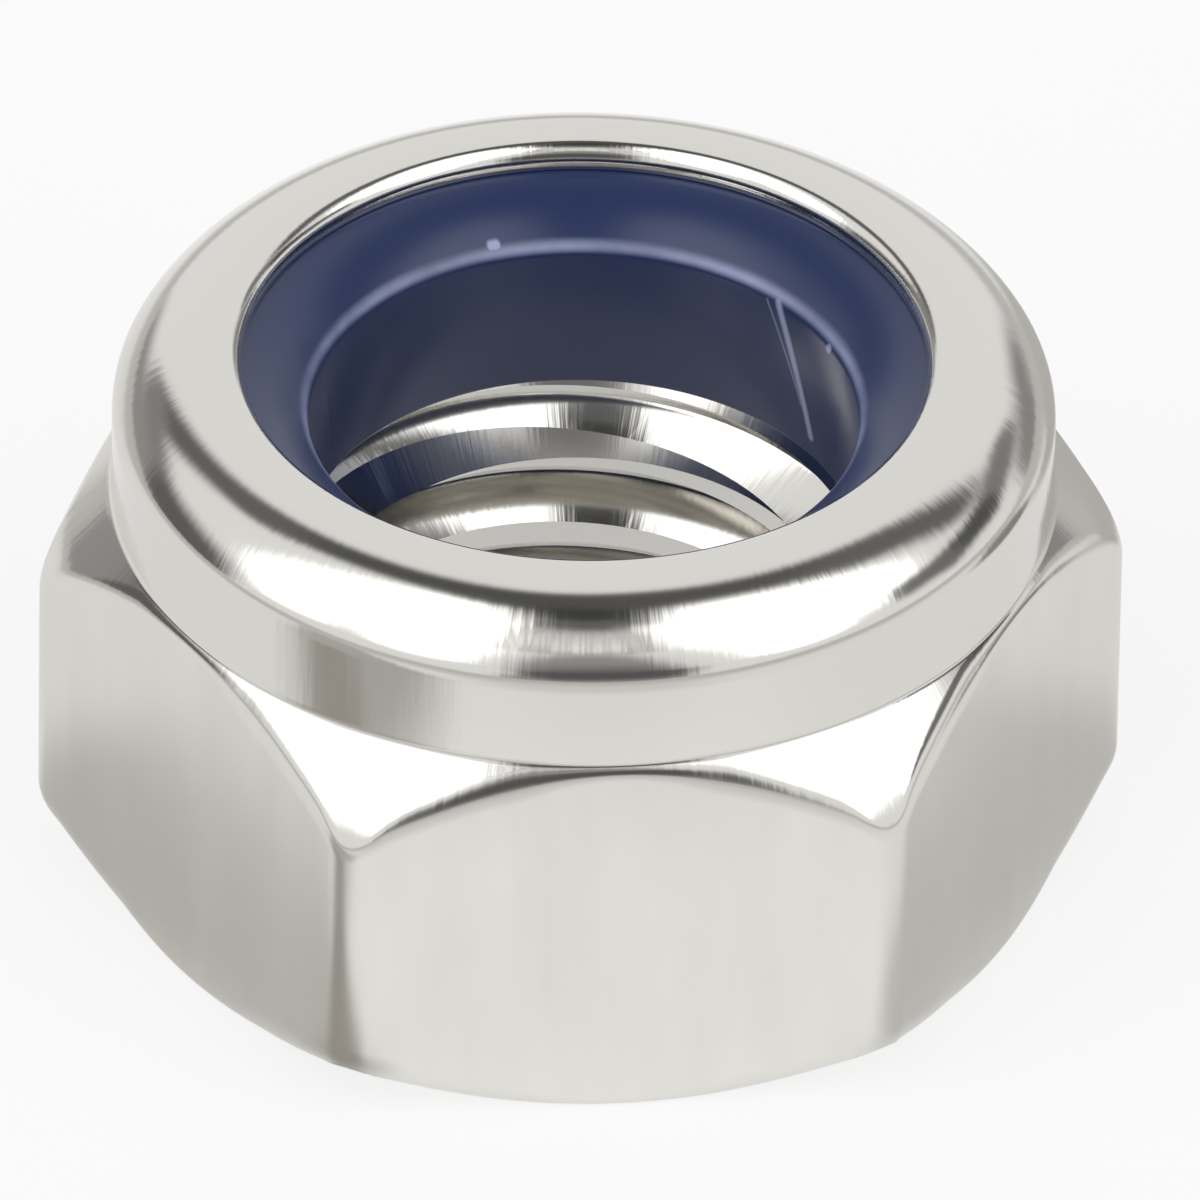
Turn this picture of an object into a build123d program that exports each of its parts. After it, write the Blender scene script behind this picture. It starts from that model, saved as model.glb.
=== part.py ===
"""Hexagon lock nut, M5, with a polyamide locking ring held under a rolled lip.

Millimetres. The origin is the centre of the bearing face and +Z runs up the nut's axis.
The hexagon has one flat towards -Y and one towards +Y.
"""

from build123d import *
import math
import os

# Thread M5, right-hand, which sets the width across flats: 8 mm for M5
THREAD_DIAMETER = 5.0
THREAD_PITCH = 0.8
FLATS_PER_DIAMETER = 1.6

# Hexagon, with its corners chamfered at both ends
CORNER_ROUND = 0.4
BEARING_INSET = 0.04
BOTTOM_CHAMFER_ANGLE = 38.0
BOTTOM_CHAMFER_ROUND = 0.5
TOP_CHAMFER_ANGLE = 48.0
TOP_CHAMFER_ROUND = 1.2

# Collar, whose wall is rolled in at the top: a tight shoulder, then a shallow crown up to the lip
HEIGHT = 4.92
COLLAR_INSET = 0.05
COLLAR_WALL = 0.45
COLLAR_HEIGHT = 1.41
COLLAR_FOOT_ROUND = 0.1
SHOULDER_DROP = 0.67
SHOULDER_ROUND = 0.37
LIP_OPENING_SHARE = 0.34
LIP_FLAT = 0.1
LIP_THICKNESS = 0.25
LIP_EDGE_ROUND = 0.06

# Cavity for the ring, its seat measured down from the top
SEAT_DEPTH = 2.04
CAVITY_ROUND = 0.05

# Bore at the thread's minor diameter, countersunk at both ends
BOTTOM_COUNTERSINK_WIDTH = 0.55
BOTTOM_COUNTERSINK_ANGLE = 30.0
TOP_COUNTERSINK_WIDTH = 0.4
TOP_COUNTERSINK_ANGLE = 54.0

# Locking ring
RING_CLEARANCE = 0.02
RING_SETBACK = 0.2
RING_TOP_SLOPE_ANGLE = 35.0
RING_EDGE_ROUND = 0.22
RING_FOOT_ROUND = 0.05

# Radii and heights that follow from the sizes above
ACROSS_FLATS = FLATS_PER_DIAMETER * THREAD_DIAMETER
BEARING_RADIUS = ACROSS_FLATS / 2 - BEARING_INSET
COLLAR_RADIUS = ACROSS_FLATS / 2 - COLLAR_INSET
CAVITY_RADIUS = COLLAR_RADIUS - COLLAR_WALL
THREAD_BORE_RADIUS = (THREAD_DIAMETER - THREAD_PITCH) / 2
BOTTOM_COUNTERSINK_RADIUS = THREAD_BORE_RADIUS + BOTTOM_COUNTERSINK_WIDTH
TOP_COUNTERSINK_RADIUS = THREAD_BORE_RADIUS + TOP_COUNTERSINK_WIDTH
RING_BORE_RADIUS = THREAD_BORE_RADIUS + RING_SETBACK
LIP_INNER_RADIUS = RING_BORE_RADIUS + LIP_OPENING_SHARE * (COLLAR_RADIUS - RING_BORE_RADIUS)
COLLAR_FOOT_HEIGHT = HEIGHT - COLLAR_HEIGHT
SEAT_HEIGHT = HEIGHT - SEAT_DEPTH


def rise(run, angle):
    """Height gained over a radial run by a line at this many degrees from level."""
    return run * math.tan(math.radians(angle))


def shoulder_centre():
    """Centre of the shoulder's arc, which starts level with it on the collar's side."""
    return (COLLAR_RADIUS - SHOULDER_ROUND, HEIGHT - SHOULDER_DROP)


def crown_round():
    """Radius of the crown, which leaves the shoulder smoothly and ends level at the lip's flat top."""
    run = shoulder_centre()[0] - (LIP_INNER_RADIUS + LIP_FLAT)
    return (run ** 2 + SHOULDER_DROP ** 2 - SHOULDER_ROUND ** 2) / (2 * (SHOULDER_DROP - SHOULDER_ROUND))


def crown_centre():
    """Centre of the crown's arc."""
    return (LIP_INNER_RADIUS + LIP_FLAT, HEIGHT - crown_round())


def shoulder_turn():
    """Degrees through which the shoulder turns inwards before the crown takes over."""
    radius, height = shoulder_centre()
    crown_radius, crown_height = crown_centre()
    return math.degrees(math.atan2(height - crown_height, radius - crown_radius))


def underside_height(radius):
    """Height of the lip's underside at a radius, a lip's thickness in from the crown."""
    crown_radius, crown_height = crown_centre()
    under_crown = crown_round() - LIP_THICKNESS
    return crown_height + math.sqrt(under_crown ** 2 - max(radius - crown_radius, 0) ** 2)


def underside(outer_radius):
    """Outline of the lip's underside, from a radius in to the lip's inner edge."""
    crown_radius = crown_centre()[0]
    middle_radius = (outer_radius + crown_radius) / 2
    arc = ThreePointArc(
        (outer_radius, underside_height(outer_radius)),
        (middle_radius, underside_height(middle_radius)),
        (crown_radius, underside_height(crown_radius)),
    )
    return [arc, Line(arc @ 1, (LIP_INNER_RADIUS, underside_height(LIP_INNER_RADIUS)))]


def turned(outline, rounds):
    """A closed outline of (radius, height) with some corners rounded, turned about the axis."""
    face = make_face(Plane.XZ * Curve(outline))
    for (radius, height), corner_round in rounds:
        place = Vector(radius, 0, height)
        corner = min(face.vertices(), key=lambda vertex: (Vector(*vertex) - place).length)
        face = fillet(corner, corner_round)
    return revolve(face, Axis.Z)


def nut_body():
    """Hexagon, collar, rolled lip and bore, as one cold-formed and bored piece."""
    corner_radius = ACROSS_FLATS / math.sqrt(3)
    bottom_cut = rise(corner_radius - BEARING_RADIUS, BOTTOM_CHAMFER_ANGLE)
    bottom_corner = (corner_radius, bottom_cut)
    top_cut = rise(corner_radius - COLLAR_RADIUS, TOP_CHAMFER_ANGLE)
    top_corner = (corner_radius, COLLAR_FOOT_HEIGHT - top_cut)
    foot = (COLLAR_RADIUS, COLLAR_FOOT_HEIGHT)
    lip_top = (LIP_INNER_RADIUS, HEIGHT)
    lip_foot = (LIP_INNER_RADIUS, HEIGHT - LIP_THICKNESS)
    cavity_top = (CAVITY_RADIUS, underside_height(CAVITY_RADIUS))
    side = Line(foot, (COLLAR_RADIUS, shoulder_centre()[1]))
    shoulder = JernArc(side @ 1, side % 1, SHOULDER_ROUND, shoulder_turn())
    crown = JernArc(shoulder @ 1, shoulder % 1, crown_round(), 90 - shoulder_turn())
    top_sink = rise(TOP_COUNTERSINK_WIDTH, TOP_COUNTERSINK_ANGLE)
    bottom_sink = rise(BOTTOM_COUNTERSINK_WIDTH, BOTTOM_COUNTERSINK_ANGLE)
    bore = Polyline(
        cavity_top,
        (CAVITY_RADIUS, SEAT_HEIGHT),
        (TOP_COUNTERSINK_RADIUS, SEAT_HEIGHT),
        (THREAD_BORE_RADIUS, SEAT_HEIGHT - top_sink),
        (THREAD_BORE_RADIUS, bottom_sink),
        (BOTTOM_COUNTERSINK_RADIUS, 0),
    )
    chamfers = Polyline(
        (BOTTOM_COUNTERSINK_RADIUS, 0),
        (BEARING_RADIUS, 0),
        bottom_corner,
        top_corner,
        foot,
    )
    lip = Polyline(crown @ 1, lip_top, lip_foot)
    blank = turned(
        [side, shoulder, crown, lip, *underside(CAVITY_RADIUS), bore, chamfers],
        [
            (bottom_corner, BOTTOM_CHAMFER_ROUND),
            (top_corner, TOP_CHAMFER_ROUND),
            (foot, COLLAR_FOOT_ROUND),
            (lip_top, LIP_EDGE_ROUND),
            (lip_foot, LIP_EDGE_ROUND),
            (cavity_top, CAVITY_ROUND),
        ],
    )
    hexagon = RegularPolygon(ACROSS_FLATS / 2, 6, major_radius=False)
    hexagon = fillet(hexagon.vertices(), CORNER_ROUND)
    return blank & extrude(hexagon, HEIGHT)


def locking_ring():
    """Polyamide ring on its seat in the cavity, pressed down at its outside by the lip."""
    outer_radius = CAVITY_RADIUS - RING_CLEARANCE
    outer_top = (outer_radius, underside_height(outer_radius))
    lip_foot = (LIP_INNER_RADIUS, underside_height(LIP_INNER_RADIUS))
    edge_height = lip_foot[1] - rise(LIP_INNER_RADIUS - RING_BORE_RADIUS, RING_TOP_SLOPE_ANGLE)
    bore_edge = (RING_BORE_RADIUS, edge_height)
    bore_foot = (RING_BORE_RADIUS, SEAT_HEIGHT)
    sides = Polyline(lip_foot, bore_edge, bore_foot, (outer_radius, SEAT_HEIGHT), outer_top)
    return turned(
        [*underside(outer_radius), sides],
        [
            (outer_top, CAVITY_ROUND),
            (bore_edge, RING_EDGE_ROUND),
            (bore_foot, RING_FOOT_ROUND),
        ],
    )


os.makedirs("parts", exist_ok=True)
export_step(nut_body(), "parts/nut_body.step")
export_step(locking_ring(), "parts/locking_ring.step")
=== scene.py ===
"""Looks for an M5 hexagon lock nut: smooth skin, tapped thread, polyamide ring, finishes and studio."""

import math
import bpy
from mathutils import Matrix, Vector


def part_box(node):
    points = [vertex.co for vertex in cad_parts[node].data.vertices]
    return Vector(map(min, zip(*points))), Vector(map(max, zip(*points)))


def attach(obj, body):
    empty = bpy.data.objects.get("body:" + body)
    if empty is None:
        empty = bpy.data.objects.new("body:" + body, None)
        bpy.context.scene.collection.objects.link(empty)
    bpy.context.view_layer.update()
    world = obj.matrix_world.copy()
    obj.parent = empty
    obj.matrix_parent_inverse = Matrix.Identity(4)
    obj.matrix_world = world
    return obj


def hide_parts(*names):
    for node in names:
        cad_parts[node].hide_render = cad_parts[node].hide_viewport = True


bl_info = {
    "name": "Lock nut",
    "version": (1, 0, 0),
    "blender": (4, 5, 0),
    "location": "View3D > Sidebar > Lock nut",
    "description": "Models a hexagon lock nut with its polyamide ring, finishes and a plain studio",
    "category": "Add Mesh",
}

import bpy
from bpy.props import FloatProperty, FloatVectorProperty, IntProperty, PointerProperty
from mathutils import Matrix, Vector

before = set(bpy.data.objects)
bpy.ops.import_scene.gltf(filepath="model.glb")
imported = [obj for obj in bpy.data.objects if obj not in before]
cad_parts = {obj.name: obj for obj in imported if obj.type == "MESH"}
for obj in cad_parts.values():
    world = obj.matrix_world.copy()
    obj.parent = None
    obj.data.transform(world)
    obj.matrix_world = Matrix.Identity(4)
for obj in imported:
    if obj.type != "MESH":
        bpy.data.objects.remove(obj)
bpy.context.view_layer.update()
NUT_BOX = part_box("nut_body")

MM = 0.001
BODY_NODE = "nut_body"
RING_NODE = "locking_ring"


def millimetres(name, description, default):
    """A length property whose default is given in millimetres."""
    return FloatProperty(name=name, description=description, default=default * MM, unit="LENGTH", precision=5)


def degrees(name, description, default):
    """An angle property whose default is given in degrees."""
    return FloatProperty(name=name, description=description, default=math.radians(default), subtype="ANGLE")


def colour(name, description, default):
    """A colour property whose default is an sRGB hex value."""
    return FloatVectorProperty(
        name=name, description=description, default=linear(default), size=4, subtype="COLOR", min=0, max=1
    )


def linear(hex_value):
    """An sRGB hex colour as linear red, green, blue and alpha."""
    channels = [int(hex_value[place:place + 2], 16) / 255 for place in (1, 3, 5)]
    return (*[c / 12.92 if c <= 0.04045 else ((c + 0.055) / 1.055) ** 2.4 for c in channels], 1.0)


class NutSizes(bpy.types.PropertyGroup):
    """Sizes of the metal body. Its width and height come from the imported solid."""

    corner_round: millimetres("Corner round", "Radius of the hexagon's upright corners", 0.4)
    bearing_inset: millimetres("Bearing inset", "From the flats in to the bearing face's edge", 0.04)
    bottom_chamfer: degrees("Bottom chamfer", "Slope of the chamfer under the corners", 38)
    bottom_blend: millimetres("Bottom blend", "Round between the bottom chamfer and the corners", 0.5)
    top_chamfer: degrees("Top chamfer", "Slope of the chamfer over the corners", 48)
    top_blend: millimetres("Top blend", "Round between the top chamfer and the corners", 1.2)
    crease_round: millimetres("Crease round", "Round along the arcs where the chamfers cut the flats", 0.42)
    collar_inset: millimetres("Collar inset", "From the flats in to the collar's side", 0.05)
    collar_height: millimetres("Collar height", "From the collar's foot to the top of the nut", 1.41)
    foot_round: millimetres("Foot round", "Round in the corner at the collar's foot", 0.1)
    wall: millimetres("Collar wall", "Thickness of the collar's wall", 0.45)
    shoulder_drop: millimetres("Shoulder drop", "From the top down to where the shoulder starts", 0.67)
    shoulder_round: millimetres("Shoulder round", "Radius of the shoulder", 0.37)
    lip_radius: millimetres("Lip radius", "Radius of the opening in the rolled lip", 2.861)
    lip_flat: millimetres("Lip flat", "Width of the level top of the lip", 0.19)
    lip_thickness: millimetres("Lip thickness", "Thickness of the rolled lip", 0.25)
    lip_edge: millimetres("Lip edge", "Round on the lip's top edge", 0.17)
    lip_foot_edge: millimetres("Lip foot edge", "Round on the lip's lower edge", 0.05)
    seat_depth: millimetres("Seat depth", "From the top down to the ring's seat", 2.04)
    bore_radius: millimetres("Bore radius", "Radius of the bore before tapping", 2.1)
    top_sink: millimetres("Top countersink", "Width of the countersink under the ring", 0.4)
    bottom_sink: millimetres("Bottom countersink", "Width of the countersink at the bearing face", 0.55)
    top_sink_slope: degrees("Top countersink slope", "Slope of the countersink under the ring", 58)
    bottom_sink_slope: degrees("Bottom countersink slope", "Slope of the countersink at the bearing face", 30)
    flat_steps: IntProperty(name="Flat steps", description="Facets across each flat", default=40, min=8)
    corner_steps: IntProperty(name="Corner steps", description="Facets round each corner", default=12, min=4)


class ThreadSizes(bpy.types.PropertyGroup):
    """Sizes of the tapped thread."""

    diameter: millimetres("Diameter", "Thread diameter, across the bottoms of the grooves", 5.0)
    pitch: millimetres("Pitch", "Rise in one turn", 0.8)
    groove_mouth: millimetres("Groove mouth", "Width of the groove at the bore", 0.6)
    groove_bottom: millimetres("Groove bottom", "Width of the groove at its bottom", 0.13)
    start: millimetres("Start", "Height of a groove's middle where it crosses the +X side", 0.069)
    turn_steps: IntProperty(name="Turn steps", description="Facets in one turn", default=96, min=24)


class RingSizes(bpy.types.PropertyGroup):
    """Sizes of the polyamide ring."""

    clearance: millimetres("Clearance", "Between the ring and the collar's wall", 0.02)
    bore_radius: millimetres("Bore radius", "Radius of the ring's bore", 2.3)
    slope: degrees("Top slope", "Slope of the ring's shown top", 35)
    bore_edge: millimetres("Bore edge", "Round at the top of the ring's bore", 0.22)
    foot_round: millimetres("Foot round", "Round at the bottom of the ring's bore", 0.05)
    steps: IntProperty(name="Steps", description="Facets round the ring", default=240, min=48)


class Finishes(bpy.types.PropertyGroup):
    """Colours of the two materials."""

    steel: colour("Steel", "Stainless steel, barrel polished", "#E6E4DF")
    polyamide: colour("Polyamide", "Dyed blue polyamide", "#25345F")
    # Pale tint of the painted highlight round the ring's bore edge, and of the streaks and specks on the
    # bore's wall
    highlight_and_streak_tint: colour("Highlight_and_streak_tint", "Polyamide where its edge is worn pale", "#A9B2D8")
    floor: colour("Floor", "White card under the nut", "#FDFDFD")
    shade: colour("Shade", "Tone that the card falls to in the deepest shade", "#7A746A")


class StudioSizes(bpy.types.PropertyGroup):
    """Camera place and the studio's light levels."""

    azimuth: degrees("Camera azimuth", "Turn of the camera from the front, positive towards +X", -5.2)
    elevation: degrees("Camera elevation", "Height of the camera over the horizon", 36.55)
    roll: degrees("Camera roll", "Turn of the camera about its own view, counter-clockwise", 0.95)
    distance: millimetres("Camera distance", "From the aim to the camera", 320)
    aim_height: millimetres("Aim height", "Height of the aim on the nut's axis", 2.4)
    right_offset: millimetres("Right offset", "Camera moved to its own right of the aim", 0.1595)
    up_offset: millimetres("Up offset", "Camera moved up its own frame from the aim", -0.0798)
    floor_gap: millimetres("Floor gap", "From the bearing face down to the floor", 0.004)
    lens: FloatProperty(name="Lens", description="Focal length in millimetres", default=1143.4)
    room_level: FloatProperty(name="Room level", description="Brightness of the plain room", default=0.85)


SIZES = (
    ("nut", NutSizes),
    ("thread", ThreadSizes),
    ("ring", RingSizes),
    ("finishes", Finishes),
    ("studio", StudioSizes),
)


def settings(name):
    """One of the scene's groups of sizes, by its short name."""
    return getattr(bpy.context.scene, "lock_nut_" + name)


def arc(corner, before, after, radius, steps):
    """Points of the round that joins two straight runs at a corner, from the first to the second."""
    corner, before, after = Vector(corner), Vector(before), Vector(after)
    towards_before = (before - corner).normalized()
    towards_after = (after - corner).normalized()
    half_angle = towards_before.angle(towards_after) / 2
    start = corner + towards_before * radius / math.tan(half_angle)
    centre = corner + (towards_before + towards_after).normalized() * radius / math.sin(half_angle)
    turn = (start - centre).angle_signed(corner + towards_after * radius / math.tan(half_angle) - centre)
    arm = start - centre
    points = []
    for step in range(steps + 1):
        angle = -turn * step / steps
        points.append(
            (
                centre.x + arm.x * math.cos(angle) - arm.y * math.sin(angle),
                centre.y + arm.x * math.sin(angle) + arm.y * math.cos(angle),
            )
        )
    return points


def run(start, end, steps):
    """Points along a straight run, both ends included."""
    return [
        (start[0] + (end[0] - start[0]) * step / steps, start[1] + (end[1] - start[1]) * step / steps)
        for step in range(steps + 1)
    ]


def blended_height(radius, edge, slope, outer, blend):
    """Height lost over a chamfer from its inner edge to a radius, with its round into the corners."""
    straight_end = outer - blend + blend * math.sin(slope)
    if radius <= straight_end:
        return (radius - edge) * math.tan(slope)
    centre_drop = (straight_end - edge) * math.tan(slope) + blend * math.cos(slope)
    across = min(radius - (outer - blend), blend)
    return centre_drop - math.sqrt(blend ** 2 - across ** 2)


def side_outline(edge, edge_height, slope, outer, blend, reach, crease, foot, upwards, steps):
    """Outline of one chamfer, from its inner edge out to the flat, with both of its ends rounded.

    Gives the chamfer, the arc of its crease, and how far the round at its inner edge cuts into it. Both
    rounds shrink where the chamfer is too short for them, which is near the middle of a flat.
    """
    sign = -1 if upwards else 1
    blend_slope = math.asin(min(max(reach - (outer - blend), 0) / blend, 1)) if blend else 0
    steepness = max(slope, blend_slope)
    length = (reach - edge) / math.cos(slope)
    foot_cut = foot * math.tan((math.pi / 2 - slope) / 2)
    crease_cut = crease * math.tan((math.pi / 2 - steepness) / 2)
    shrink = min(1.0, 0.98 * length / (foot_cut + crease_cut))
    foot_cut *= shrink
    crease_cut *= shrink

    def place(radius):
        return (radius, edge_height + sign * blended_height(radius, edge, slope, outer, blend))

    top = place(reach)
    inner_radius = edge + foot_cut * math.cos(slope)
    outer_radius = reach - crease_cut * math.cos(steepness)
    points = [place(inner_radius + (outer_radius - inner_radius) * step / steps) for step in range(steps + 1)]
    crease_arc = arc(top, points[-1], (top[0], top[1] + sign), crease * shrink, steps=6)
    return points, crease_arc, foot_cut


def crown_start(sizes):
    """Radius where the crown's arc starts, level with the lip's flat top."""
    return sizes.lip_radius + sizes.lip_flat


def crown_round(sizes):
    """Radius of the crown's arc, which leaves the shoulder's arc smoothly and ends level."""
    shoulder_radius = NUT_BOX[1].y - sizes.collar_inset - sizes.shoulder_round
    across = shoulder_radius - crown_start(sizes)
    return (across ** 2 + sizes.shoulder_drop ** 2 - sizes.shoulder_round ** 2) / (
        2 * (sizes.shoulder_drop - sizes.shoulder_round)
    )


def underside(sizes, outer):
    """Radius of the arc under the lip, the corner that it rounds, and its end at an outer radius."""
    height = NUT_BOX[1].z
    under_round = crown_round(sizes) - sizes.lip_thickness
    turn = math.asin((outer - crown_start(sizes)) / under_round)
    corner = (crown_start(sizes) + under_round * math.tan(turn / 2), height - sizes.lip_thickness)
    end = (outer, height - crown_round(sizes) + under_round * math.cos(turn))
    return under_round, corner, end


def section(sizes, reach):
    """Closed outline through the nut, as (radius, height), where the hexagon reaches this far out."""
    half_flats = NUT_BOX[1].y
    height = NUT_BOX[1].z
    outer = half_flats / math.cos(math.pi / 6)
    bearing_edge = half_flats - sizes.bearing_inset
    collar = half_flats - sizes.collar_inset
    foot_height = height - sizes.collar_height
    seat = height - sizes.seat_depth
    cavity = collar - sizes.wall

    lower, lower_crease, _ = side_outline(
        bearing_edge,
        0.0,
        sizes.bottom_chamfer,
        outer,
        sizes.bottom_blend,
        reach,
        crease=sizes.crease_round,
        foot=0.0,
        upwards=False,
        steps=12,
    )
    upper, upper_crease, foot_cut = side_outline(
        collar,
        foot_height,
        sizes.top_chamfer,
        outer,
        sizes.top_blend,
        reach,
        crease=sizes.crease_round,
        foot=sizes.foot_round,
        upwards=True,
        steps=14,
    )
    foot = (collar, foot_height)
    foot_round = foot_cut / math.tan((math.pi / 2 - sizes.top_chamfer) / 2)
    foot_arc = arc(foot, upper[0], (collar, height), foot_round, steps=5)

    shoulder_centre = (collar - sizes.shoulder_round, height - sizes.shoulder_drop)
    across = shoulder_centre[0] - crown_start(sizes)
    shoulder_turn = math.atan2(shoulder_centre[1] - height + crown_round(sizes), across)
    shoulder_corner = (collar, shoulder_centre[1] + sizes.shoulder_round * math.tan(shoulder_turn / 2))
    crown_turn = math.pi / 2 - shoulder_turn
    crown_corner = (crown_start(sizes) + crown_round(sizes) * math.tan(crown_turn / 2), height)

    under_round, under_corner, cavity_top = underside(sizes, cavity)
    lip_top = (sizes.lip_radius, height)
    lip_foot = (sizes.lip_radius, height - sizes.lip_thickness)
    sink_top = (sizes.bore_radius + sizes.top_sink, seat)
    bore_top = (sizes.bore_radius, seat - sizes.top_sink * math.tan(sizes.top_sink_slope))
    bore_foot = (sizes.bore_radius, sizes.bottom_sink * math.tan(sizes.bottom_sink_slope))
    sink_foot = (sizes.bore_radius + sizes.bottom_sink, 0.0)
    # Rows of points this close to an edge keep the shading flat up to it
    support = 0.02 * MM

    side = run((reach, lower_crease[-1][1] + support), (reach, upper_crease[-1][1] - support), steps=24)
    outline = [sink_foot, (sink_foot[0] + support, 0.0), (bearing_edge - support, 0.0)]
    outline += lower + lower_crease[1:] + side + upper_crease[::-1] + upper[::-1][1:]
    outline += foot_arc[1:]
    outline += run((collar, foot_arc[-1][1] + support), (collar, shoulder_centre[1] - support), steps=4)
    outline += arc(shoulder_corner, foot, crown_corner, sizes.shoulder_round, steps=14)
    outline += arc(crown_corner, shoulder_corner, lip_top, crown_round(sizes), steps=18)[1:]
    outline += arc(lip_top, crown_corner, lip_foot, sizes.lip_edge, steps=12)
    outline += arc(lip_foot, lip_top, under_corner, sizes.lip_foot_edge, steps=5)
    outline += arc(under_corner, lip_foot, cavity_top, under_round, steps=6)
    outline += [(cavity, seat), (sink_top[0] + support, seat), sink_top, bore_top, bore_foot]
    return outline


def hexagon_reach(sizes, from_flat):
    """Distance from the axis to the hexagon, at an angle from the middle of the nearest flat."""
    half_flats = NUT_BOX[1].y
    centre = (half_flats - sizes.corner_round) / math.cos(math.pi / 6)
    from_corner = math.pi / 6 - abs(from_flat)
    if abs(from_flat) <= flat_half_angle(sizes):
        return half_flats / math.cos(from_flat)
    return centre * math.cos(from_corner) + math.sqrt(
        sizes.corner_round ** 2 - (centre * math.sin(from_corner)) ** 2
    )


def flat_half_angle(sizes):
    """Angle from the middle of a flat to where its corner's round starts."""
    half_flats = NUT_BOX[1].y
    half_width = (half_flats - sizes.corner_round) * math.tan(math.pi / 6)
    return math.atan(half_width / half_flats)


def azimuths(sizes):
    """Azimuths of the upright rows of vertices, closer together round the corners."""
    half_flat = flat_half_angle(sizes)
    rows = []
    for corner in range(6):
        middle = corner * math.pi / 3
        half_corner = math.pi / 6 - half_flat
        for step in range(sizes.corner_steps):
            rows.append(middle + half_corner * (2 * step / sizes.corner_steps - 1))
        for step in range(sizes.flat_steps):
            rows.append(middle + half_corner + 2 * half_flat * step / sizes.flat_steps)
    return rows


def new_outline(name, outline):
    """A wire drawn by extruding one vertex along an outline of (radius, height) in the XZ plane.

    Its vertices aren't numbered in the order they were drawn, so each takes its station from its place.
    """
    bpy.ops.object.select_all(action="DESELECT")
    bpy.ops.mesh.primitive_plane_add(size=MM)
    wire = bpy.context.object
    wire.name = name
    wire.data.name = name
    bpy.ops.object.mode_set(mode="EDIT")
    bpy.ops.mesh.select_mode(type="VERT")
    bpy.ops.mesh.select_all(action="SELECT")
    bpy.ops.mesh.merge(type="CENTER")
    bpy.ops.transform.translate(value=(outline[0][0], 0, outline[0][1]))
    for here, there in zip(outline, outline[1:]):
        step = (there[0] - here[0], 0, there[1] - here[1])
        bpy.ops.mesh.extrude_region_move(TRANSFORM_OT_translate={"value": step})
    bpy.ops.object.mode_set(mode="OBJECT")
    station = wire.data.attributes.new("station", "INT", "POINT")
    places = [Vector((radius, 0, height)) for radius, height in outline]
    for vertex in wire.data.vertices:
        nearest = min(range(len(places)), key=lambda index: (places[index] - vertex.co).length)
        station.data[vertex.index].value = nearest
    bpy.ops.object.mode_set(mode="EDIT")
    bpy.ops.mesh.select_all(action="DESELECT")
    bpy.ops.object.mode_set(mode="OBJECT")
    stations = wire.data.attributes["station"].data
    for vertex in wire.data.vertices:
        vertex.select = stations[vertex.index].value in (0, len(outline) - 1)
    bpy.ops.object.mode_set(mode="EDIT")
    bpy.ops.mesh.edge_face_add()
    bpy.ops.object.mode_set(mode="OBJECT")
    return wire


def spin(wire, steps):
    """Spins a wire once round the nut's axis and closes the seam."""
    bpy.ops.object.mode_set(mode="EDIT")
    bpy.ops.mesh.select_all(action="SELECT")
    bpy.ops.mesh.spin(steps=steps, angle=2 * math.pi, center=(0, 0, 0), axis=(0, 0, 1))
    bpy.ops.object.mode_set(mode="OBJECT")


def closed(piece, merge_distance, smooth_angle):
    """Merges doubled vertices, turns faces outwards and shades the piece smooth between sharp edges."""
    bpy.ops.object.select_all(action="DESELECT")
    piece.select_set(True)
    bpy.context.view_layer.objects.active = piece
    bpy.ops.object.mode_set(mode="EDIT")
    bpy.ops.mesh.select_all(action="SELECT")
    bpy.ops.mesh.remove_doubles(threshold=merge_distance)
    bpy.ops.mesh.normals_make_consistent(inside=False)
    bpy.ops.object.mode_set(mode="OBJECT")
    bpy.ops.object.shade_smooth_by_angle(angle=smooth_angle)


def apply_modifier(piece, kind, **options):
    """Adds a modifier to a piece, sets it and applies it."""
    bpy.ops.object.select_all(action="DESELECT")
    piece.select_set(True)
    bpy.context.view_layer.objects.active = piece
    bpy.ops.object.modifier_add(type=kind)
    modifier = piece.modifiers[-1]
    for name, value in options.items():
        setattr(modifier, name, value)
    bpy.ops.object.modifier_apply(modifier=modifier.name)


def press_hexagon(piece, sizes):
    """Presses the round blank into the hexagon: each upright row takes the section at its azimuth."""
    rows = azimuths(sizes)
    sections = {}
    stations = piece.data.attributes["station"].data
    for vertex in piece.data.vertices:
        azimuth = math.atan2(vertex.co.y, vertex.co.x) % (2 * math.pi)
        row = round(azimuth / (2 * math.pi) * len(rows)) % len(rows)
        if row not in sections:
            from_flat = (rows[row] % (math.pi / 3)) - math.pi / 6
            sections[row] = section(sizes, hexagon_reach(sizes, from_flat))
        radius, height = sections[row][stations[vertex.index].value]
        vertex.co = (radius * math.cos(rows[row]), radius * math.sin(rows[row]), height)


class LOCKNUT_OT_body(bpy.types.Operator):
    """Forms the metal body and taps its thread."""

    bl_idname = "lock_nut.body"
    bl_label = "Nut body"

    def execute(self, context):
        sizes = settings("nut")
        reference = section(sizes, hexagon_reach(sizes, math.pi / 6))
        body = new_outline("hexagon_nut", reference)
        spin(body, 6 * (sizes.flat_steps + sizes.corner_steps))
        press_hexagon(body, sizes)
        body.data.attributes.remove(body.data.attributes["station"])
        closed(body, merge_distance=0.0005 * MM, smooth_angle=math.radians(25))
        tap = thread_tap(settings("thread"), sizes)
        apply_modifier(body, "BOOLEAN", operation="DIFFERENCE", solver="EXACT", object=tap)
        bpy.data.objects.remove(tap)
        # A tighter angle than before tapping, so that the thread's edges stay sharp
        closed(body, merge_distance=0.0002 * MM, smooth_angle=math.radians(19))
        body.data.materials.clear()
        body.data.materials.append(steel_material())
        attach(body, "root")
        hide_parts(BODY_NODE)
        return {"FINISHED"}


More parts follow.
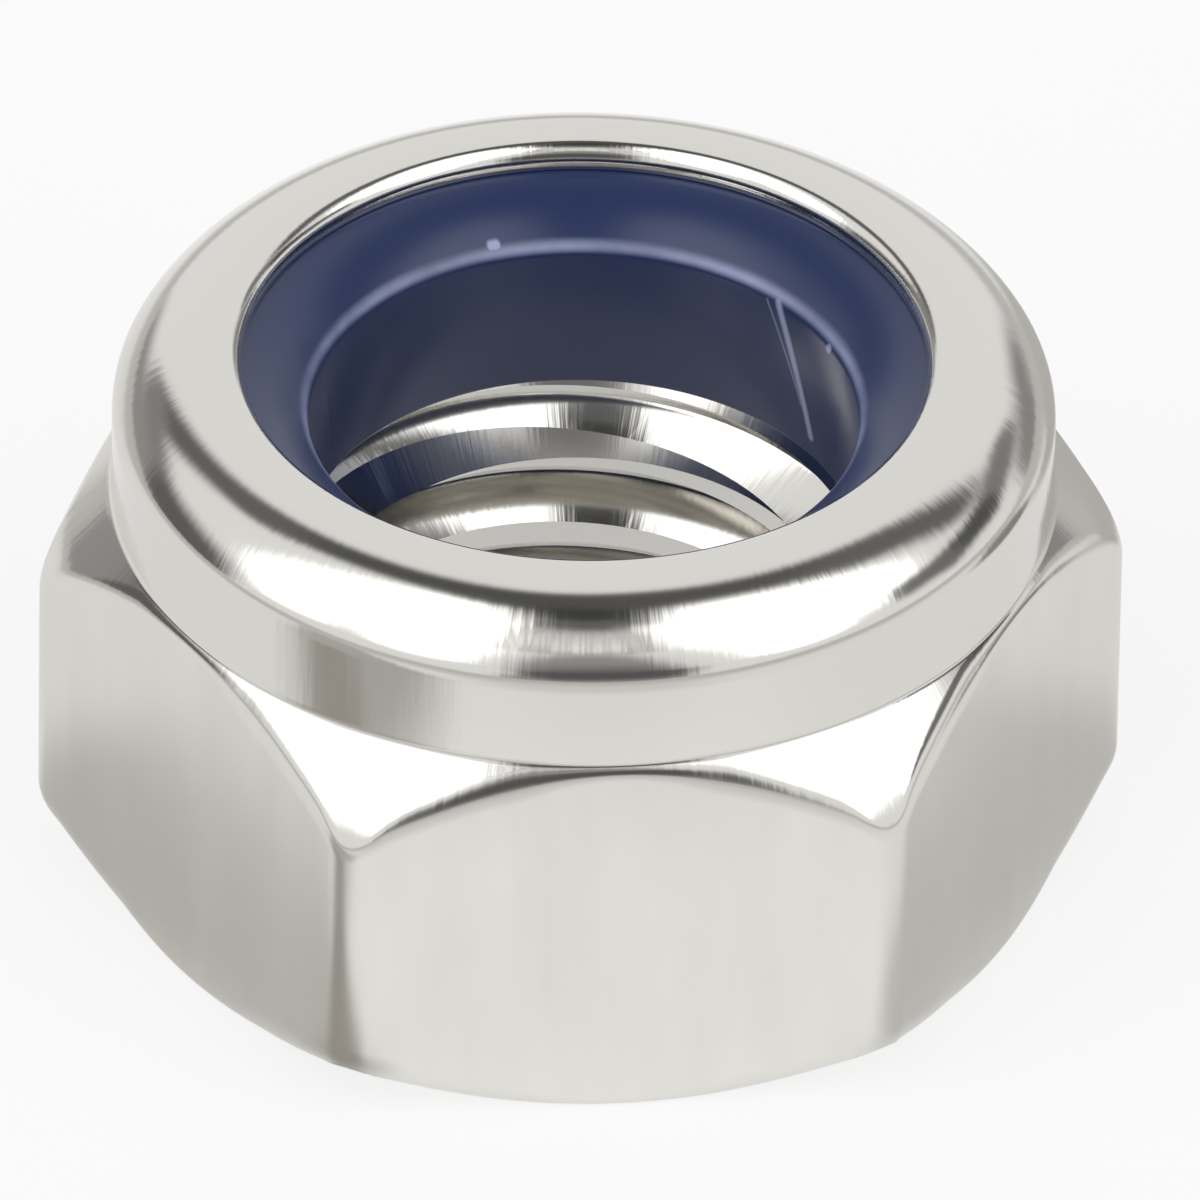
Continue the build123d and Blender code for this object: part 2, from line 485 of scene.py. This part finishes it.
def thread_tap(thread, sizes):
    """A closed helical ridge, right-handed, with the shape of the thread's grooves.

    It starts inside the bore, and a pitch below the nut, so that it cuts clear through both.
    """
    overlap = 0.1 * MM
    inner = sizes.bore_radius - overlap
    slope = (thread.groove_mouth - thread.groove_bottom) / 2 / (thread.diameter / 2 - sizes.bore_radius)
    half_inner = thread.groove_mouth / 2 + slope * overlap
    half_bottom = thread.groove_bottom / 2
    outer = thread.diameter / 2
    start = thread.start - thread.pitch
    rounding = 0.35 * half_bottom
    outline = [
        (inner, start - half_inner),
        (outer - rounding, start - half_bottom),
        (outer, start - half_bottom + rounding),
        (outer, start + half_bottom - rounding),
        (outer - rounding, start + half_bottom),
        (inner, start + half_inner),
    ]
    tap = new_outline("thread_tap", outline)
    tap.data.attributes.remove(tap.data.attributes["station"])
    turns = math.ceil((NUT_BOX[1].z - sizes.seat_depth - start) / thread.pitch)
    apply_modifier(
        tap,
        "SCREW",
        axis="Z",
        angle=2 * math.pi,
        screw_offset=thread.pitch,
        iterations=turns,
        steps=thread.turn_steps,
        render_steps=thread.turn_steps,
        use_merge_vertices=True,
        merge_threshold=0.0005 * MM,
    )
    bpy.ops.object.mode_set(mode="EDIT")
    bpy.ops.mesh.select_mode(type="EDGE")
    bpy.ops.mesh.select_all(action="DESELECT")
    bpy.ops.mesh.select_non_manifold()
    bpy.ops.mesh.edge_face_add()
    bpy.ops.mesh.select_all(action="SELECT")
    bpy.ops.mesh.normals_make_consistent(inside=False)
    bpy.ops.object.mode_set(mode="OBJECT")
    return tap


class LOCKNUT_OT_ring(bpy.types.Operator):
    """Turns the polyamide ring that lies under the rolled lip."""

    bl_idname = "lock_nut.ring"
    bl_label = "Locking ring"

    def execute(self, context):
        sizes = settings("nut")
        ring_sizes = settings("ring")
        ring = new_outline("polyamide_ring", ring_outline(sizes, ring_sizes))
        spin(ring, ring_sizes.steps)
        ring.data.attributes.remove(ring.data.attributes["station"])
        closed(ring, merge_distance=0.0005 * MM, smooth_angle=math.radians(40))
        ring.data.materials.clear()
        ring.data.materials.append(polyamide_material())
        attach(ring, "root")
        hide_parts(RING_NODE)
        return {"FINISHED"}


def slope_foot_height(sizes, ring):
    """Height where the ring's sloped top would meet its bore."""
    return NUT_BOX[1].z - sizes.lip_thickness - (sizes.lip_radius - ring.bore_radius) * math.tan(ring.slope)


def ring_outline(sizes, ring):
    """Closed outline of the ring, whose outer top follows the underside of the lip."""
    height = NUT_BOX[1].z
    collar = NUT_BOX[1].y - sizes.collar_inset
    seat = height - sizes.seat_depth
    outer = collar - sizes.wall - ring.clearance
    under_round, under_corner, outer_top = underside(sizes, outer)
    lip_foot = (sizes.lip_radius, height - sizes.lip_thickness)
    bore_edge = (ring.bore_radius, slope_foot_height(sizes, ring))
    bore_foot = (ring.bore_radius, seat)
    outline = [(outer, seat)]
    outline += arc(under_corner, outer_top, lip_foot, under_round, steps=6)
    outline += [lip_foot]
    outline += arc(bore_edge, lip_foot, bore_foot, ring.bore_edge, steps=10)
    outline += arc(bore_foot, bore_edge, (outer, seat), ring.foot_round, steps=4)
    return outline


def add_node(tree, kind, inputs=None, output=0, **options):
    """Adds a node and gives one of its outputs. Inputs are values or the outputs that feed them."""
    node = tree.nodes.new(kind)
    for name, value in options.items():
        setattr(node, name, value)
    for key, value in (inputs or {}).items():
        if isinstance(value, bpy.types.NodeSocket):
            tree.links.new(value, node.inputs[key])
        else:
            node.inputs[key].default_value = value
    return node.outputs[output] if node.outputs else None


def new_material(name):
    """An empty node material and its tree."""
    material = bpy.data.materials.new(name)
    material.use_nodes = True
    material.node_tree.nodes.clear()
    return material, material.node_tree


def bearing_and_height(tree, place):
    """A place's bearing round the nut's axis, in radians from +X, and its height, as one vector."""
    axes = add_node(tree, "ShaderNodeSeparateXYZ", {"Vector": place}).node.outputs
    bearing = add_node(tree, "ShaderNodeMath", {0: axes["Y"], 1: axes["X"]}, operation="ARCTAN2")
    return add_node(tree, "ShaderNodeCombineXYZ", {"X": bearing, "Y": axes["Z"]})


def steel_material():
    """Stainless steel. What was rolled, turned or tapped is bright, and the flats keep a satin skin.

    To the eye, the collar and the chamfers mirror the room in sharp bands with faint upright ripples, and the
    flats show soft tones with faint upright marks.
    """
    bright_roughness = 0.12
    satin_roughness = (0.16, 0.32)
    mottle_size = 1.11 * MM
    mark_width = 0.385 * MM
    mark_length = 2.0 * MM
    mark_tones = (0.96, 1.07)
    ripple_width = 0.0878 * MM
    ripple_length = 1.11 * MM
    ripple_depth = 0.004 * MM
    ripple_strength = 0.35
    sizes = settings("nut")
    material, tree = new_material("barrel_polished_stainless_steel")
    place = add_node(tree, "ShaderNodeTexCoord", output="Object")
    height = add_node(tree, "ShaderNodeSeparateXYZ", {"Vector": place}, output="Z")
    facing = add_node(tree, "ShaderNodeNewGeometry", output="Normal")
    upwards = add_node(tree, "ShaderNodeSeparateXYZ", {"Vector": facing}, output="Z")
    upwards = add_node(tree, "ShaderNodeMath", {0: upwards}, operation="ABSOLUTE")
    outwards = add_node(
        tree, "ShaderNodeVectorMath", {0: place, 1: facing}, output="Value", operation="DOT_PRODUCT"
    )

    # The flats: upright, below the collar's foot, and further out than anything in the bore
    collar_foot = NUT_BOX[1].z - sizes.collar_height
    upright = add_node(
        tree,
        "ShaderNodeMapRange",
        {"Value": upwards, "From Min": 0.3, "From Max": 0.05},
        interpolation_type="SMOOTHSTEP",
    )
    below = add_node(tree, "ShaderNodeMath", {0: height, 1: collar_foot - 0.05 * MM}, operation="LESS_THAN")
    outside = add_node(tree, "ShaderNodeMath", {0: outwards, 1: 3.0 * MM}, operation="GREATER_THAN")
    flat = add_node(tree, "ShaderNodeMath", {0: below, 1: outside}, operation="MULTIPLY")
    flat = add_node(tree, "ShaderNodeMath", {0: flat, 1: upright}, operation="MULTIPLY")

    mottle = add_node(tree, "ShaderNodeTexNoise", {"Vector": place, "Scale": 1 / mottle_size, "Detail": 4.0})
    satin = add_node(
        tree,
        "ShaderNodeMapRange",
        {"Value": mottle, "To Min": satin_roughness[0], "To Max": satin_roughness[1]},
    )
    roughness = add_node(tree, "ShaderNodeMix", {"Factor": flat, "A": bright_roughness, "B": satin})
    drawn = add_node(
        tree,
        "ShaderNodeVectorMath",
        {0: place, 1: (1 / mark_width, 1 / mark_width, 1 / mark_length)},
        operation="MULTIPLY",
    )
    marks = add_node(tree, "ShaderNodeTexNoise", {"Vector": drawn, "Scale": 1.0, "Detail": 2.0})
    tone = add_node(
        tree, "ShaderNodeMapRange", {"Value": marks, "To Min": mark_tones[0], "To Max": mark_tones[1]}
    )
    tone = add_node(tree, "ShaderNodeMix", {"Factor": flat, "A": 1.0, "B": tone})
    tint = add_node(
        tree,
        "ShaderNodeVectorMath",
        {0: settings("finishes").steel[:3], "Scale": tone},
        operation="SCALE",
    )

    # Ripples that rolling leaves round the collar, real ones being finer than the render could show
    collar = NUT_BOX[1].y - sizes.collar_inset
    rolled = add_node(
        tree,
        "ShaderNodeVectorMath",
        {0: bearing_and_height(tree, place), 1: (collar / ripple_width, 1 / ripple_length, 0.0)},
        operation="MULTIPLY",
    )
    ripples = add_node(tree, "ShaderNodeTexNoise", {"Vector": rolled, "Scale": 1.0, "Detail": 2.0})
    strength = add_node(tree, "ShaderNodeMapRange", {"Value": flat, "To Min": ripple_strength, "To Max": 0.0})
    normal = add_node(
        tree, "ShaderNodeBump", {"Strength": strength, "Distance": ripple_depth, "Height": ripples}
    )
    shader = add_node(
        tree,
        "ShaderNodeBsdfPrincipled",
        {"Base Color": tint, "Metallic": 1.0, "Roughness": roughness, "Normal": normal},
    )
    add_node(tree, "ShaderNodeOutputMaterial", {"Surface": shader})
    return material


def polyamide_material():
    """Polyamide, moulded and dyed dark blue.

    To the eye it has a soft satin shine, a painted highlight in a pale tint round the top edge of the bore,
    mottled by noise, and pale streaks and specks on the bore's wall.
    """
    highlight_width = 0.07 * MM
    highlight_strength = 1.3
    mottle_size = 0.667 * MM
    material, tree = new_material("moulded_blue_polyamide")
    place = add_node(tree, "ShaderNodeTexCoord", output="Object")
    height = add_node(tree, "ShaderNodeSeparateXYZ", {"Vector": place}, output="Z")
    ring = settings("ring")
    # Painted highlight: a pale band round the top edge of the ring's bore, mottled by noise
    edge_height = slope_foot_height(settings("nut"), ring)
    from_edge = add_node(tree, "ShaderNodeMath", {0: height, 1: edge_height}, operation="SUBTRACT")
    from_edge = add_node(tree, "ShaderNodeMath", {0: from_edge}, operation="ABSOLUTE")
    lightened = add_node(
        tree,
        "ShaderNodeMapRange",
        {"Value": from_edge, "From Min": highlight_width, "From Max": 0.0, "To Max": highlight_strength},
        interpolation_type="SMOOTHSTEP",
    )
    mottle = add_node(tree, "ShaderNodeTexNoise", {"Vector": place, "Scale": 1 / mottle_size, "Detail": 3.0})
    lightened = add_node(tree, "ShaderNodeMath", {0: lightened, 1: mottle}, operation="MULTIPLY")
    wall = add_node(
        tree,
        "ShaderNodeVectorMath",
        {0: bearing_and_height(tree, place), 1: (ring.bore_radius / MM, 1 / MM, 0.0)},
        operation="MULTIPLY",
    )
    # Pale streaks and specks on the bore's wall, in the same pale tint
    streaked = painted(tree, wall, 0.0, PALE_STREAKS)
    lightened = add_node(tree, "ShaderNodeMath", {0: lightened, 1: streaked}, operation="MAXIMUM")
    tint = add_node(
        tree,
        "ShaderNodeMix",
        {"Factor": lightened, "A": settings("finishes").polyamide, "B": settings("finishes").highlight_and_streak_tint},
        output=2,
        data_type="RGBA",
    )
    shader = add_node(
        tree,
        "ShaderNodeBsdfPrincipled",
        {"Base Color": tint, "Roughness": 0.24, "IOR": 1.53, "Sheen Weight": 0.08},
    )
    add_node(tree, "ShaderNodeOutputMaterial", {"Surface": shader})
    return material


# The room as it is seen looking up, in degrees from the zenith, to the right and to the back. Each line
# is a soft stroke from one place to another, with its half width, softness and brightness. Later ones
# cover earlier ones.
ROOM = (
    ("left softbox, top", (-24, -15), (-56, -12), 19, 0.2, 1.7),
    ("left softbox, foot", (-26, -26), (-40, -39), 17, 0.25, 1.7),
    ("right softbox, top", (24, -18), (50, -18), 17, 0.2, 1.7),
    ("right softbox, foot", (28, -30), (46, -40), 17, 0.25, 1.7),
    ("light between the softboxes", (0, -18), (-2, -38), 9, 0.3, 1.35),
    ("front gap, top", (-3, -69), (-3, -76), 22, 0.2, 0.3),
    ("front gap, foot", (-16, -92), (12, -92), 21, 0.25, 0.3),
    ("front gap, darkest", (-12, -73), (16, -73), 12, 0.5, 0.1),
    ("ceiling gap, front", (0, -2), (0, -15), 9.5, 0.45, 0.04),
    ("ceiling gap", (-6, 6), (6, 6), 8, 0.5, 0.06),
    ("left gap", (-6, 7), (-30, 26), 8, 0.5, 0.08),
    ("left gap, back", (-30, 26), (-44, 56), 8, 0.6, 0.13),
    ("left stand, back", (-46, 58), (-77, 40), 9, 0.5, 0.24),
    ("left stand", (-77, 40), (-84, 15), 13, 0.5, 0.12),
    ("back left wall", (-40, 84), (-66, 58), 9, 0.6, 0.3),
    ("right gap", (6, 6), (33, 12), 8.5, 0.5, 0.09),
    ("right gap, end", (33, 12), (50, 18), 9.5, 0.6, 0.13),
    ("right stand, back", (56, 40), (70, 20), 7, 0.5, 0.22),
    ("right stand", (70, 20), (73, 0), 6.5, 0.5, 0.08),
    ("right stand, front", (73, 0), (68, -16), 5.5, 0.5, 0.16),
    ("back right wall", (55, 65), (72, 50), 11, 0.6, 0.27),
    ("back right wall, foot", (35, 92), (60, 75), 9, 0.6, 0.48),
)

# Painted shade that the metal shows on the table, as strokes in millimetres to the right and to the back
PAINTED_TABLE_SHADE = (
    ("far table, front", (-30, -23), (30, -23), 13, 0.25, 0.7),
    ("left of the nut", (-12.5, -10), (-12.5, 12), 8, 0.35, 0.86),
    ("right of the nut", (13.5, -12), (13.5, 12), 9, 0.3, 0.86),
    ("left stand's shade", (-8, -7), (-24, -14), 3, 0.4, 0.36),
    ("under the left flat", (-3.4, -4.1), (-5.4, -0.4), 1.1, 0.6, 0.5),
    ("left corner's shade", (-2.9, -4.3), (-8, -5.3), 0.8, 0.5, 0.22),
    ("under the right flat", (3.6, -3.9), (5.5, -0.4), 1.1, 0.6, 0.55),
    ("right stand's shade", (15, 2), (30, 5), 3, 0.4, 0.1),
    ("back right shade", (10, 9), (22, 24), 5, 0.3, 0.42),
)

# Pale streaks and specks on the wall of the ring's bore, as strokes in millimetres round it from +X and up
PALE_STREAKS = (
    ("long streak", (1.62, 4.24), (1.15, 3.1), 0.034, 0.7, 0.85),
    ("short streak beside it", (1.74, 4.2), (1.3, 3.35), 0.012, 0.8, 0.4),
    ("speck on the right", (0.88, 4.2), (0.9, 4.17), 0.035, 0.5, 0.8),
    ("speck at the back", (4.15, 4.33), (4.2, 4.33), 0.03, 0.5, 0.9),
)


class LOCKNUT_OT_studio(bpy.types.Operator):
    """Sets up the floor, the room's soft light and the camera."""

    bl_idname = "lock_nut.studio"
    bl_label = "Studio"

    def execute(self, context):
        make_floor()
        make_room()
        make_camera()
        context.scene.view_settings.view_transform = "Standard"
        return {"FINISHED"}


def painted(tree, place, level, strokes):
    """A brightness over a plane, after soft round-ended strokes are painted over it.

    A stroke has a name, a start and an end, a half width, the share of that over which its edge fades, and
    the brightness that it paints.
    """
    for _, start, end, half_width, softness, strength in strokes:
        from_start = add_node(tree, "ShaderNodeVectorMath", {0: place, 1: (*start, 0)}, operation="SUBTRACT")
        length = Vector(end) - Vector(start)
        share_along = length / max(length.length_squared, 1e-6)
        along = add_node(
            tree,
            "ShaderNodeVectorMath",
            {0: from_start, 1: (*share_along, 0)},
            output="Value",
            operation="DOT_PRODUCT",
        )
        along = add_node(tree, "ShaderNodeClamp", {"Value": along})
        nearest = add_node(
            tree, "ShaderNodeVectorMath", {0: (*length, 0), "Scale": along}, operation="SCALE"
        )
        distance = add_node(
            tree, "ShaderNodeVectorMath", {0: from_start, 1: nearest}, output="Value", operation="DISTANCE"
        )
        edges = {"From Min": half_width * (1 + softness), "From Max": half_width * (1 - softness)}
        share = add_node(
            tree, "ShaderNodeMapRange", {"Value": distance, **edges}, interpolation_type="SMOOTHSTEP"
        )
        level = add_node(tree, "ShaderNodeMix", {"Factor": share, "A": level, "B": strength})
    return level


def slits(tree, place):
    """Share of thin gaps between the panels, which fan out forwards from the zenith at even bearings."""
    first_bearing, last_bearing, spacing = -26.0, 14.0, 40 / 7
    nearest_down, furthest_down = 14.0, 48.0
    solid_half_width, clear_half_width = 0.3, 1.5
    sides = add_node(tree, "ShaderNodeSeparateXYZ", {"Vector": place}).node.outputs
    forwards = add_node(tree, "ShaderNodeMath", {0: sides["Y"], 1: -1.0}, operation="MULTIPLY")
    bearing = add_node(tree, "ShaderNodeMath", {0: sides["X"], 1: forwards}, operation="ARCTAN2")
    bearing = add_node(tree, "ShaderNodeMath", {0: bearing}, operation="DEGREES")

    # Degrees from the nearest gap's middle, first round the zenith and then across the gap
    turn = add_node(tree, "ShaderNodeMath", {0: bearing, 1: first_bearing}, operation="SUBTRACT")
    turn = add_node(tree, "ShaderNodeMath", {0: turn, 1: spacing / 2}, operation="PINGPONG")
    turn = add_node(tree, "ShaderNodeMath", {0: turn}, operation="RADIANS")
    down = add_node(tree, "ShaderNodeVectorMath", {0: place}, output="Value", operation="LENGTH")
    across = add_node(tree, "ShaderNodeMath", {0: turn, 1: down}, operation="MULTIPLY")
    share = add_node(
        tree,
        "ShaderNodeMapRange",
        {"Value": across, "From Min": clear_half_width, "From Max": solid_half_width},
    )

    middle = (nearest_down + furthest_down) / 2
    reach = (furthest_down - nearest_down) / 2
    along = add_node(tree, "ShaderNodeMath", {0: down, 1: middle, 2: reach}, operation="COMPARE")
    middle = (first_bearing + last_bearing) / 2
    reach = (last_bearing - first_bearing) / 2 + clear_half_width
    within = add_node(tree, "ShaderNodeMath", {0: bearing, 1: middle, 2: reach}, operation="COMPARE")
    share = add_node(tree, "ShaderNodeMath", {0: share, 1: along}, operation="MULTIPLY")
    return add_node(tree, "ShaderNodeMath", {0: share, 1: within}, operation="MULTIPLY")


def make_floor():
    """A white card with painted shade that the camera doesn't see: strokes near the nut, and a fade to darker
    further out.

    The camera sees it white, with the nut's shadow, and the metal sees its painted shade a little paler than
    it is.
    From below it is clear, so the bearing face can be looked at, and it lies a hair under that face.
    """
    fade_start, fade_end, far_shade_level = 14.0, 45.0, 0.5
    camera_glow, glossy_glow = 0.8, 0.55
    bpy.ops.object.select_all(action="DESELECT")
    bpy.ops.mesh.primitive_circle_add(
        vertices=64, radius=3.0, fill_type="NGON", location=(0, 0, -settings("studio").floor_gap)
    )
    floor = bpy.context.object
    floor.name = "floor"
    material, tree = new_material("white_card")
    metres = add_node(tree, "ShaderNodeTexCoord", output="Object")
    place = add_node(tree, "ShaderNodeVectorMath", {0: metres, "Scale": 1 / MM}, operation="SCALE")
    rays = add_node(tree, "ShaderNodeLightPath", output="Is Camera Ray").node.outputs
    # Painted shade for all but camera rays: the strokes, then a fade to darker further out
    level = painted(tree, place, 1.0, PAINTED_TABLE_SHADE)
    away = add_node(tree, "ShaderNodeVectorMath", {0: place}, output="Value", operation="LENGTH")
    far = add_node(
        tree,
        "ShaderNodeMapRange",
        {"Value": away, "From Min": fade_start, "From Max": fade_end},
        interpolation_type="SMOOTHSTEP",
    )
    level = add_node(tree, "ShaderNodeMix", {"Factor": far, "A": level, "B": far_shade_level})
    level = add_node(tree, "ShaderNodeMix", {"Factor": rays["Is Camera Ray"], "A": level, "B": 1.0})
    tint = add_node(
        tree,
        "ShaderNodeMix",
        {"Factor": level, "A": settings("finishes").shade, "B": settings("finishes").floor},
        output=2,
        data_type="RGBA",
    )
    seen = add_node(tree, "ShaderNodeMath", {0: rays["Is Camera Ray"], 1: camera_glow}, operation="MULTIPLY")
    shown = add_node(
        tree,
        "ShaderNodeMath",
        {0: rays["Is Glossy Ray"], 1: glossy_glow, 2: seen},
        operation="MULTIPLY_ADD",
    )
    card = add_node(tree, "ShaderNodeBsdfDiffuse", {"Color": tint})
    glow = add_node(tree, "ShaderNodeEmission", {"Color": tint})
    mixed = add_node(tree, "ShaderNodeMixShader", {"Fac": shown, 1: card, 2: glow})
    from_below = add_node(tree, "ShaderNodeNewGeometry", output="Backfacing")
    clear = add_node(tree, "ShaderNodeBsdfTransparent")
    mixed = add_node(tree, "ShaderNodeMixShader", {"Fac": from_below, 1: mixed, 2: clear})
    add_node(tree, "ShaderNodeOutputMaterial", {"Surface": mixed})
    material.use_transparent_shadow = False
    floor.data.materials.append(material)


def make_room():
    """A pale room of soft light panels with darker gaps between them."""
    slit_level = 0.12
    world = bpy.data.worlds.new("room")
    bpy.context.scene.world = world
    world.use_nodes = True
    tree = world.node_tree
    tree.nodes.clear()
    way = add_node(tree, "ShaderNodeTexCoord", output="Generated")
    upwards = add_node(tree, "ShaderNodeSeparateXYZ", {"Vector": way}, output="Z")
    turn = add_node(tree, "ShaderNodeMath", {0: upwards}, operation="ARCCOSINE")
    from_zenith = add_node(tree, "ShaderNodeMath", {0: turn}, operation="DEGREES")
    bearing = add_node(tree, "ShaderNodeVectorMath", {0: way, 1: (1, 1, 0)}, operation="MULTIPLY")
    bearing = add_node(tree, "ShaderNodeVectorMath", {0: bearing}, operation="NORMALIZE")
    place = add_node(tree, "ShaderNodeVectorMath", {0: bearing, "Scale": from_zenith}, operation="SCALE")
    level = painted(tree, place, settings("studio").room_level, ROOM)
    level = add_node(tree, "ShaderNodeMix", {"Factor": slits(tree, place), "A": level, "B": slit_level})
    background = add_node(tree, "ShaderNodeBackground", {"Color": (1, 1, 1, 1), "Strength": level})
    add_node(tree, "ShaderNodeOutputWorld", {"Surface": background})


def make_camera():
    """The photograph's camera: far away with a long lens, so the nut shows almost no perspective."""
    studio = settings("studio")
    back = Vector(
        (
            math.sin(studio.azimuth) * math.cos(studio.elevation),
            -math.cos(studio.azimuth) * math.cos(studio.elevation),
            math.sin(studio.elevation),
        )
    )
    level_right = Vector((0, 0, 1)).cross(back).normalized()
    level_up = back.cross(level_right)
    right = level_right * math.cos(studio.roll) + level_up * math.sin(studio.roll)
    up = back.cross(right)
    place = Vector((0, 0, studio.aim_height)) + back * studio.distance
    place += right * studio.right_offset + up * studio.up_offset
    bpy.ops.object.camera_add()
    camera = bpy.context.object
    camera.name = "camera"
    turned = Matrix((right, up, back)).transposed().to_4x4()
    camera.matrix_world = Matrix.Translation(place) @ turned
    camera.data.sensor_width = 36
    camera.data.lens = studio.lens
    camera.data.clip_start = 0.01
    camera.data.clip_end = 10
    bpy.context.scene.camera = camera


class LOCKNUT_PT_panel(bpy.types.Panel):
    """Lists the sizes, colours and steps in the sidebar."""

    bl_idname = "LOCKNUT_PT_panel"
    bl_label = "Lock nut"
    bl_space_type = "VIEW_3D"
    bl_region_type = "UI"
    bl_category = "Lock nut"

    def draw(self, context):
        for operator in OPERATORS:
            self.layout.operator(operator.bl_idname)
        for name, group in SIZES:
            box = self.layout.box()
            box.label(text=name)
            for key in group.__annotations__:
                box.prop(settings(name), key)


OPERATORS = (LOCKNUT_OT_studio, LOCKNUT_OT_body, LOCKNUT_OT_ring)


def register():
    for _, group in SIZES:
        bpy.utils.register_class(group)
    for operator in OPERATORS:
        bpy.utils.register_class(operator)
    bpy.utils.register_class(LOCKNUT_PT_panel)
    for name, group in SIZES:
        setattr(bpy.types.Scene, "lock_nut_" + name, PointerProperty(type=group))


def unregister():
    for name, _ in SIZES:
        delattr(bpy.types.Scene, "lock_nut_" + name)
    bpy.utils.unregister_class(LOCKNUT_PT_panel)
    for operator in reversed(OPERATORS):
        bpy.utils.unregister_class(operator)
    for _, group in reversed(SIZES):
        bpy.utils.unregister_class(group)


def main():
    """Builds the nut and its studio."""
    register()
    bpy.ops.lock_nut.studio()
    bpy.ops.lock_nut.body()
    bpy.ops.lock_nut.ring()


if __name__ == "__main__":
    main()
